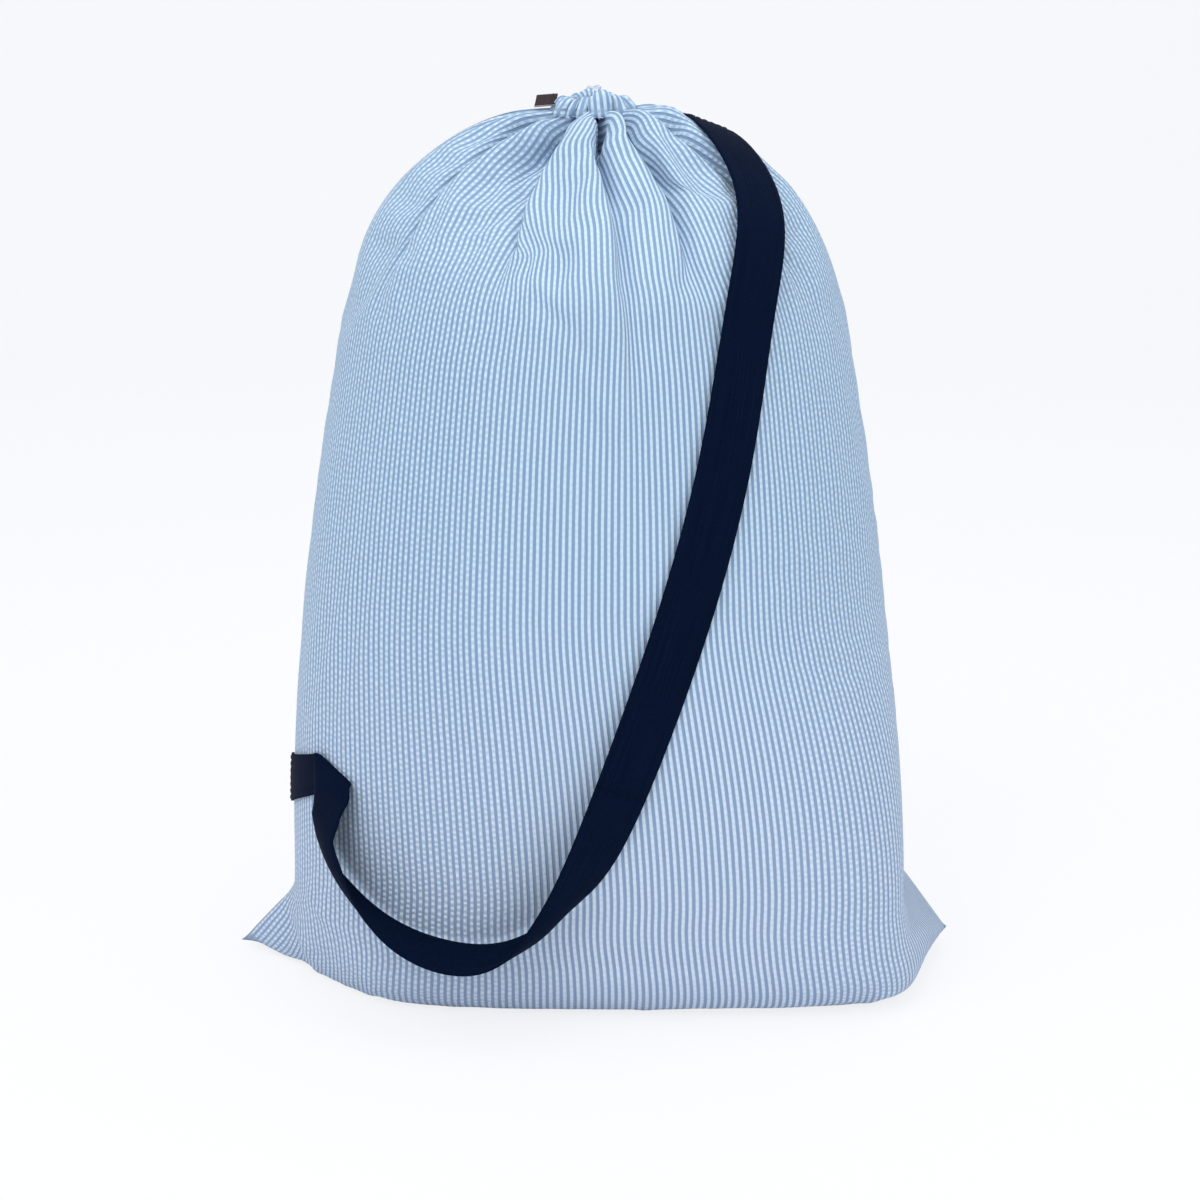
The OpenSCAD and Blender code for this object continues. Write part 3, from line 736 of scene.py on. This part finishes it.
def settle(piece, flat, held, loose_from, frames):
    """Lets the cloth settle on the filling and the floor, from its cut size, and gives its points."""
    piece.shape_key_add(name="filled")
    cut = piece.shape_key_add(name="cut")
    cut.data.foreach_set("co", (flat * MM).astype(np.float32).ravel())
    pins = piece.vertex_groups.new(name="held")
    for index, weight in held:
        pins.add([int(index)], float(weight), "REPLACE")
    calm = piece.vertex_groups.new(name="calm")
    calm.add([int(i) for i in np.nonzero(flat[:, 2] < loose_from)[0]], 1.0, "REPLACE")
    stuff = filling()
    corners = 1e3 * np.array([(-1, -1, 0), (1, -1, 0), (1, 1, 0), (-1, 1, 0)])
    ground = made("ground", corners, [(0, 1, 2, 3)], CLOTH)
    for solid, gap, grip in ((stuff, 0.001, 8.0), (ground, 0.0005, 20.0)):
        solid.modifiers.new("collision", "COLLISION")
        solid.collision.thickness_outer, solid.collision.cloth_friction = gap, grip
    cloth = piece.modifiers.new("cloth", "CLOTH")
    rule = cloth.settings
    rule.quality, rule.mass, rule.air_damping = 6, 0.15, 2.0
    rule.tension_stiffness, rule.compression_stiffness, rule.shear_stiffness = 40, 12, 12
    rule.bending_stiffness = 1.0
    rule.tension_damping = rule.compression_damping = rule.shear_damping = 8
    rule.vertex_group_mass, rule.rest_shape_key = "held", cut
    rule.use_pressure, rule.uniform_pressure_force = True, 0.3
    rule.effector_weights.gravity = 0.2
    touch = cloth.collision_settings
    touch.collision_quality, touch.distance_min = 3, 0.0015
    touch.use_self_collision, touch.self_distance_min = True, 0.0012
    touch.vertex_group_self_collisions = "calm"
    for number in range(1, frames + 1):
        scene.frame_set(number)
    ready = piece.evaluated_get(bpy.context.evaluated_depsgraph_get())
    points = np.empty(len(flat) * 3, np.float32)
    ready.data.vertices.foreach_get("co", points)
    scene.frame_set(1)
    for old in (piece, stuff, ground):
        bpy.data.objects.remove(old)
    return points.reshape(-1, 3).astype(float) / MM


def tab_place(along, across, gap):
    """A place on the strap's lower end: along it from the side seam to the fold, and across it."""
    low, high = (lerp(np.array((SEAM_ANGLE, TAB_LEVEL + edge / SHOULDER_Z)), corner, along)
                 for edge, corner in ((-HALF_W, FOLD_LOW), (HALF_W, FOLD_HIGH)))
    return off_skin(*lerp(low, high, across), gap)


def press_under_strap(points):
    """Keeps the cloth behind the strap where it lies flat, and behind its sewn ends."""
    lies = np.abs(strap_places[:, 3]) < FLAT_TURN
    along = np.linspace(0, 1, 30)
    tab = np.array([tab_place(a, 0.5, TAB_GAP) for a in along])
    tab_side = unit(np.array([tab_place(a, 1, TAB_GAP) - tab_place(a, 0, TAB_GAP) for a in along]))
    tab_face = np.array([tab_place(a, 0.5, TAB_GAP + 1) for a in along]) - tab
    run = strap_mid[lies], strap_face[lies], strap_side[lies]
    for mids, ups, sides_ in (run, (tab, tab_face, tab_side)):
        for i, p in enumerate(points):
            off = p - mids
            k = int(np.argmin(np.einsum("ij,ij->i", off, off)))
            wide = abs(off[k] @ sides_[k])
            if wide > PRESS_WIDE or np.linalg.norm(off[k]) > PRESS_NEAR:
                continue
            rise = PRESS_RISE * eased(share(wide, HALF_W + 1, PRESS_FADE))
            over = off[k] @ ups[k] - (-HALF_T - PRESS_GAP + rise)
            if over > 0:
                points[i] = p - over * ups[k]


def crest_share(u, folds):
    """1 halfway between two folds and 0 in them, for places across the cloth."""
    valleys = np.concatenate([[-2 - folds[0, 0]], folds[:, 0], [2 - folds[-1, 0]]]) * FLAT_W / 2
    k = np.clip(np.searchsorted(valleys, u), 1, len(valleys) - 1)
    return np.sin(pi * (u - valleys[k - 1]) / (valleys[k] - valleys[k - 1])) ** 0.8


def fill_out(points, flat, fronts, top):
    """Raises the cloth between the folds next to the mouth, so that it runs up into the ruffles."""
    crest = np.where(fronts, *(crest_share(flat[:, 0], folds) for folds in (FRONT_FOLDS, BACK_FOLDS)))
    down = top - flat[:, 2]
    near = eased(share(down, *LIFT_FROM)) * (1 - eased(share(down, *LIFT_TO)))
    points[:, 2] += lerp(*CREST_LIFT, eased(share(points[:, 0], *LIFT_X))) * crest * near


def make_panels():
    """Front and back, joined at the side and bottom seams while they settle."""
    u, v, front = panel_grid(FRONT_FOLDS, TUCK_AT)
    back = panel_grid(BACK_FOLDS)[2] * (1, -1, 1)
    rows, cols = front.shape[:2]
    first = np.arange(rows * cols).reshape(rows, cols)
    second = first.copy()
    second[1:, 1:-1] = rows * cols + np.arange((rows - 1) * (cols - 2)).reshape(rows - 1, cols - 2)
    cut = np.insert(flat_grid(u, v), 1, 0, axis=-1)
    points, flat = (np.concatenate([a.reshape(-1, 3), b[1:, 1:-1].reshape(-1, 3)])
                    for a, b in ((front, back), (cut, cut)))
    points[:, 2] += 1.0
    faces = np.array(grid_faces(rows, cols))
    both = np.concatenate([first.ravel()[faces], second.ravel()[faces][:, ::-1]])
    bag = made("settling", points, both, CLOTH)
    corner = np.hypot(FLAT_W / 2 - np.abs(flat[:, 0]), flat[:, 2])
    low = 0.5 * (1 - eased(share(flat[:, 2], *HELD_V)))
    firm = np.maximum(low, 1 - 0.9 * share(corner, 0, CORNER_R))
    firm[np.concatenate([first[-1], second[-1]])] = 1
    held = [(i, firm[i]) for i in np.nonzero(firm > 0.02)[0]]
    points = settle(bag, flat, held, v[-1] - LOOSE_L, SETTLE_FRAMES)
    points[:, 2] = np.maximum(points[:, 2], 0.6)
    fill_out(points, flat, np.arange(len(flat)) < rows * cols, v[-1])
    press_under_strap(points)
    return u, v, points[first], points[second]


u_lines, v_lines, front_points, back_points = make_panels()


def panel_piece(name, node, points, flip):
    rows, cols = points.shape[:2]
    piece = made(name, points, grid_faces(rows, cols, flip=flip), CLOTH, flat_grid(u_lines, v_lines))
    finer = piece.modifiers.new("finer", "SUBSURF")
    finer.levels = finer.render_levels = 1
    finer.boundary_smooth = "PRESERVE_CORNERS"
    thick = piece.modifiers.new("thick", "SOLIDIFY")
    thick.thickness, thick.offset, thick.use_even_offset = 0.8 * MM, -1, False
    dress(piece, "bag", node)


panel_piece("front_cloth", "front_panel", front_points, False)
panel_piece("back_cloth", "back_panel", back_points, True)


# ---- seam edges inside

SEAM_FROM, SEAM_W, SEAM_T = 1.2, 10, 2.2


def seam_strip(name, node, line, inwards):
    """An overlocked edge that stands in from a seam, wavy along its raw side."""
    wave = 0.8 * np.sin(np.arange(len(line)) * 0.9)
    across = np.linspace(SEAM_FROM, SEAM_W, 4)
    middle = line[:, None] + across[:, None] * np.array(inwards)
    sway, backwards = wave[:, None] * across / SEAM_W, np.array((0, 1, 0))
    outside, inside = (middle + (shift + sway)[..., None] * backwards for shift in (SEAM_T / 2, -SEAM_T / 2))
    piece = slab(name, outside, inside, flat_grid(across, np.arange(len(line)) * ROW_STEP), THREAD)
    dress(piece, "bag", node)


def make_seam_edges():
    foot, corner, shoulder = 10, 12, int(np.searchsorted(v_lines, 560))
    left, right = (front_points[foot:shoulder, col] for col in (0, -1))
    seam_strip("left_overlock", "left_seam_edge", left, (1, 0, 0))
    seam_strip("right_overlock", "right_seam_edge", right, (-1, 0, 0))
    bottom = front_points[0, corner:-corner] + (0, 0, 0.6)
    seam_strip("bottom_overlock", "bottom_seam_edge", bottom, (0, 0, 1))


make_seam_edges()


# ---- gathered casing

# The casing's rings, their sides and the turn round them where the hem is sewn. The angles and spreads, in
# degrees, of the cord's outlet and of the ruffle that stands up.
RUFFLE_RINGS, RUFFLE_SIDES, HEM_TURN = 241, 28, radians(-38)
OUTLET, HUMP = (90, 28), (291, 24)


def ruffle_valleys():
    """Angles round the mouth, anticlockwise from +X, where the panels' folds go in, and their places across
    the cloth."""
    out = []
    for folds, grid in ((FRONT_FOLDS, front_points), (BACK_FOLDS, back_points)):
        for place in folds[:, 0]:
            j = int(round((place + 1) / 2 * COLS))
            out.append((atan2(grid[-1, j, 1], grid[-1, j, 0]) % tau, u_lines[j]))
    return np.array(sorted(out)).T


VALLEYS, VALLEY_U = ruffle_valleys()


def ruffle(angle):
    """1 on the crest of a ruffle and 0 in the valley beside it, and the ruffle's number."""
    k = np.searchsorted(VALLEYS, angle) % len(VALLEYS)
    low, high = VALLEYS[k - 1], VALLEYS[k]
    s = ((angle - low) % tau) / max((high - low) % tau, 1e-6)
    return sin(pi * min(max(s, 0), 1)) ** 0.55, k


def near_angle(angle, middle, spread):
    """1 at an angle round the mouth in degrees, fading out to both sides of it."""
    off = (degrees(angle) - middle + 180) % 360 - 180
    return exp(-(off / spread) ** 2)


def casing_z(angle):
    """The hem sinks into the folds, except at the back where the cord comes out."""
    return RING_Z - 4.5 * (1 - near_angle(angle, *OUTLET))


def casing_point(angle, turn, lift=0.0):
    """A point of the casing: an angle round the mouth and a turn round the hem, 0 outwards. Its ruffles run
    down into the folds, and one of them stands up at the front."""
    crest, k = ruffle(angle % tau)
    upper, lower = max(0.0, sin(turn)), max(0.0, -sin(turn))
    r = 3.6 + crest * (2.2 + 1.6 * cos(turn) + (0.6 + 0.8 * sin(2.3 * k + 1.0)) * upper) + lift
    r += near_angle(angle, *HUMP) * upper * 6.5
    skirt = crest * max(0.0, cos(turn - HEM_TURN)) ** 3
    a = angle + radians(4) * sin(3.1 * k) * upper
    out = RING_R + r * cos(turn) + 1.5 * sin(1.7 * k) * upper + 7 * skirt
    z = casing_z(angle) + r * sin(turn) - 1.5 * skirt - 5 * (1 - crest) * lower
    return ring_point(out, a, z)


def casing_half(name, node, start, way):
    angles, turns = np.linspace(start, start + pi, RUFFLE_RINGS), around(RUFFLE_SIDES)
    points = np.array([[casing_point(a, t) for t in turns] for a in angles])
    gone = gone_along(points[:, 4])
    # The stripes of a fold run on over the ruffle that it ends in, past the end of the panel's cloth.
    across, lobes = gone.copy(), np.array([ruffle(a % tau)[1] for a in angles])
    for k in set(lobes.tolist()):
        here = lobes == k
        across[here] = (VALLEY_U[k - 1] + VALLEY_U[k]) / 2 + way * (gone[here] - gone[here].mean())
    flat = np.stack(np.meshgrid(across, turns * CASING_R + 820, indexing="ij"), -1)
    faces = [face[::-1] for face in capped_faces(RUFFLE_RINGS, RUFFLE_SIDES)]
    dress(made(name, points, faces, CLOTH, flat), "bag", node)


casing_half("front_ruffle", "front_casing", pi, 1)
casing_half("back_ruffle", "back_casing", 0.0, -1)


def make_casing_trim():
    """The hem's stitches and the sewn lip of the cord's outlet."""
    hem = [casing_point(a, HEM_TURN, 0.25) for a in np.linspace(0, tau, 361)]
    dress(stitched("hem_stitches", [hem], THREAD, *HEM_STITCH), "bag", "casing_stitching")
    out, wide, high, thick = RING_R + CASING_R + 1.2, radians(20), 3.6, 1.3
    lip = np.array([ring_point(out, pi / 2 + wide * cos(t), RING_Z + high * sin(t))
                    for t in around(48)])
    dress(tube_piece("cord_outlet", THREAD, lip, thick, 10), "bag", "outlet_buttonhole")


make_casing_trim()


# ---- drawstring

CORD_SIDES, CORD_STEPS = 14, 14
# How far each end of the cord leaves from the middle of the back, in degrees, and the knot's place and size.
END_TURN, KNOT_AT, KNOT_S = 5.18, RING_R + CASING_R + 20, 0.56 * CORD_D


def make_drawstring():
    """The cord round the mouth with its two ends, and the trefoil knot that joins them."""
    ring = np.array([ring_point(RING_R, t, casing_z(t)) for t in around(96)])
    points, faces, flat = tube(ring, CORD_D / 2, CORD_SIDES, True)
    for way in (-1, 1):
        out = ring_point(1, radians(90 + way * END_TURN), 0)
        reach = np.linspace(RING_R + 1, KNOT_AT - 2.61 * KNOT_S, CORD_STEPS)
        line = reach[:, None] * out + (0, 0, RING_Z)
        line[:, 2] -= 0.8 * np.sin(np.linspace(0, pi, CORD_STEPS))
        end = tube(line, CORD_D / 2, CORD_SIDES, False, len(points))
        points, faces, flat = np.concatenate([points, end[0]]), faces + end[1], np.concatenate([flat, end[2]])
    dress(made("drawn_cord", points, faces, CORD, flat), "drawstring", "drawstring")
    t = around(160)
    knot = KNOT_S * np.stack(
        [-1.45 * np.sin(3 * t), np.sin(t) + 2 * np.sin(2 * t), np.cos(t) - 2 * np.cos(2 * t)], 1)
    piece = tube_piece("cord_knot", CORD, knot + (0, KNOT_AT, RING_Z), CORD_D / 2, CORD_SIDES)
    dress(piece, "drawstring", "drawstring_knot")


make_drawstring()


# ---- strap

# Places across the webbing, and the share of its half width where its edges are eased.
ACROSS, EDGE = np.linspace(-1, 1, 15), 0.06


def webbing_strip(name, mids, sides_, faces_, gone, cup=0):
    """Webbing along a run: a slab with eased edges and a slight cup across it, or a deeper one."""
    cup = np.broadcast_to(cup, len(mids))[:, None]
    half = HALF_W * (1 - 8 / 3 * (cup / STRAP_W) ** 2)
    bulge = np.sqrt(np.clip(1 - np.clip((np.abs(ACROSS) - (1 - EDGE)) / EDGE, 0, 1) ** 2, 0, 1))
    wave = 0.25 * np.sin(gone / 37.0)[:, None] * np.cos(2.4 * ACROSS)[None] + cup * (0.4 - ACROSS ** 2)
    middle = mids[:, None] + (half * ACROSS)[..., None] * sides_[:, None]
    thick = HALF_T * (0.25 + 0.75 * bulge)[None, :, None]
    outside, inside = (middle + (wave[..., None] + t) * faces_[:, None] for t in (thick, -thick))
    return slab(name, outside, inside, flat_grid(HALF_W * ACROSS, gone), WEBBING)


def fold_rings():
    """Rings round the diagonal fold, to the sewn end beneath: middle, half width and face."""
    low, high = (off_skin(*p, FOLD_GAP) for p in (FOLD_LOW, FOLD_HIGH))
    face = unit(facing(*FOLD_HIGH) + facing(*FOLD_LOW))
    out = np.cross(unit(high - low), face)
    radius = (FOLD_GAP - TAB_GAP) / 2
    rings = []
    for turn in np.linspace(0, pi, FOLD_RINGS):
        shift = radius * (sin(turn) * out + (cos(turn) - 1) * face)
        half = (low - high) / 2 * (1 - FOLD_TAPER * (1 - cos(turn)))
        rings.append(((low + high) / 2 + shift, half, cos(turn) * face + sin(turn) * out))
    return rings


def strap_piece(name, steps):
    return webbing_strip(name, strap_mid[steps], strap_side[steps], strap_face[steps], strap_gone[steps])


def make_strap():
    """The strap's free run: down from the neck, and the loop with its turn to the diagonal fold."""
    cut = CREST_AT + LOOP_AT
    piece = strap_piece("strap_shoulder", slice(CREST_AT, cut + 1))
    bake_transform(piece)
    dress(piece, None, "strap")

    mids, halves, faces_ = strap_mid[cut:], strap_side[cut:] * HALF_W, strap_face[cut:]
    rings, bend = fold_rings(), off_skin(*BEND, BEND_GAP)
    fold_mid, fold_half, fold_face = rings[0]
    between = []
    for s in np.linspace(0, 1, 14)[1:-1]:
        mid = lerp(lerp(mids[-1], bend, s), lerp(bend, fold_mid, s), s)
        half = lerp(halves[-1], fold_half, eased(s))
        half = half * lerp(HALF_W, np.linalg.norm(fold_half), s) / np.linalg.norm(half)
        between.append((mid, half, lerp(faces_[-1], fold_face, eased(s))))
    mids, halves, faces_ = (np.concatenate([run, more]) for run, more in zip(
        (mids, halves, faces_), zip(*between, *rings)))
    cup = sum(deep * np.exp(-((np.arange(len(mids)) - at) / reach) ** 2) for deep, at, reach in CUPS)
    gone = gone_along(mids) + strap_gone[cut]
    piece = webbing_strip("strap_loop", mids, halves / HALF_W, unit(faces_), gone, cup)
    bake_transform(piece)
    dress(piece, None, "strap")


make_strap()


def make_strap_ends():
    """The end in the left side seam with its bar tacks, and the end behind the neck with its boxed cross."""
    fold_at, length, tack_gap = 0.96, 46, 0.2
    along, across = np.linspace(0, fold_at, 25), (ACROSS + 1) / 2
    outside, inside = (np.array([[tab_place(a, c, TAB_GAP + g) for c in across] for a in along])
                       for g in (HALF_T, -HALF_T))
    piece = slab("strap_tab", inside, outside, flat_grid(HALF_W * ACROSS, along * length), WEBBING)
    dress(piece, "bag", "strap_lower_end")
    rows = [[tab_place(a, c, TAB_GAP + HALF_T + tack_gap) for c in np.linspace(0.08, 0.92, 12)]
            for a in (0.06, 0.14)]
    piece = stitched("tab_stitches", rows, DARK_THREAD, *STRAP_STITCH)
    dress(piece, "bag", "strap_lower_stitching")

    dress(strap_piece("strap_tail", slice(0, CREST_AT + 1)), "bag", "strap_upper_end")

    def sewn(k, wide):
        i = min(int(k), CREST_AT - 1)
        mid, way, face = (lerp(x[i], x[i + 1], k - i) for x in (strap_mid, strap_side, strap_face))
        return mid + wide * way + (HALF_T + 0.25) * face

    half, near = 0.34 * STRAP_W, 0.16 * STRAP_W / TAIL_L * CREST_AT
    far = CREST_AT - near
    corners = np.array([(near, -half), (far, -half), (far, half), (near, half)])
    lines = [[sewn(*lerp(corners[a], corners[b], s)) for s in np.linspace(0, 1, 16)]
             for a, b in ((0, 1), (1, 2), (2, 3), (3, 0), (0, 2), (1, 3))]
    piece = stitched("tail_stitches", lines, DARK_THREAD, *STRAP_STITCH)
    dress(piece, "bag", "strap_upper_stitching")


make_strap_ends()


# ---- label

def make_label():
    """A folded ribbon, bare on both faces, sewn to the casing at the left of the mouth."""
    angle, slope, tilt = radians(172), radians(-5), radians(25)
    root, long_, wide, thick = 7.3, 15, 16, 1.0
    out = ring_point(cos(slope), angle, sin(slope))
    level = np.array((-sin(angle), cos(angle), 0))
    upright = np.cross(out, level)
    across = cos(tilt) * level - sin(tilt) * upright
    up = sin(tilt) * level + cos(tilt) * upright
    base = ring_point(RING_R, angle, RING_Z) + root * out
    half, end = thick / 2, long_ - thick / 2
    path = [(s, half) for s in np.linspace(0, end, 14)]
    path += [(end + half * sin(t), half * cos(t)) for t in np.linspace(0.3, 2.84, 7)]
    path += [(s, -half) for s in np.linspace(end, 0, 14)]
    w = np.linspace(-wide / 2, wide / 2, 9)

    def leaf(depth):
        shrink = 1 - depth / half
        return np.array([[base + (s - depth * 0.6 * (s > long_ - 1)) * out + x * across
                          + (h * shrink + 0.5 * sin(s / long_ * 2.2) * (x / wide) ** 2) * up for x in w]
                         for s, h in path])

    piece = slab("bare_label", leaf(0.38), leaf(0.0), flat_grid(w, gone_along(np.array(path))), RIBBON)
    dress(piece, "label", "label")
    sewn = base + 3 * out + (half + 0.2) * up
    line = [sewn + x * across for x in np.linspace(-0.42 * wide, 0.42 * wide, 10)]
    piece = stitched("label_stitches", [line], DARK_THREAD, *LABEL_STITCH)
    dress(piece, "label", "label_stitching")


make_label()


# ---- floor and light

def make_stage():
    """A white floor that curves up into a wall, and soft light."""
    f = Finish("studio_floor", (0.95, 0.95, 0.95))
    rays = "Is Camera Ray", "Is Glossy Ray", "Is Transmission Ray"
    camera, glossy, through = (f.node("LightPath", out=ray) for ray in rays)
    seen = (camera + glossy + through).op("MINIMUM", 1.0)
    matte = f.node("BsdfDiffuse", Color=(0.9, 0.91, 0.93, 1))
    white = f.node("Emission", Color=(0.975, 0.982, 1.0, 1), Strength=1.0)
    mixed = f.node("MixShader", None, {0: seen * 0.82, 1: matte, 2: white})
    f.node("OutputMaterial", Surface=mixed)
    wide, back, bend, high = 6000, 2500, 1500, 9000
    profile = [(-wide, 0), (back, 0)]
    profile += [(back + bend * sin(t), bend - bend * cos(t)) for t in np.linspace(0.1, pi / 2, 16)]
    profile += [(back + bend, high)]
    points = [(x, y, z) for y, z in profile for x in (-wide, wide)]
    floor = made("studio", points, grid_faces(len(profile), 2), f.material)

    world = bpy.data.worlds.new("studio_light")
    world.use_nodes = True
    sky = world.node_tree.nodes["Background"].inputs
    sky["Color"].default_value, sky["Strength"].default_value = (0.93, 0.96, 1.0, 1), 0.68
    scene.world = world
    for name, place, size, power in (("key", (-1.2, -1.5, 2.2), 2.0, 29), ("fill", (1.6, -1.4, 1.5), 1.8, 14),
                                     ("top", (0.1, 0.2, 2.6), 1.4, 16)):
        lamp = bpy.data.lights.new(name, "AREA")
        lamp.size, lamp.energy, lamp.color = size, power, (0.97, 0.985, 1.0)
        aimed(name, lamp, place, (0, 0, 0.33))


make_stage()
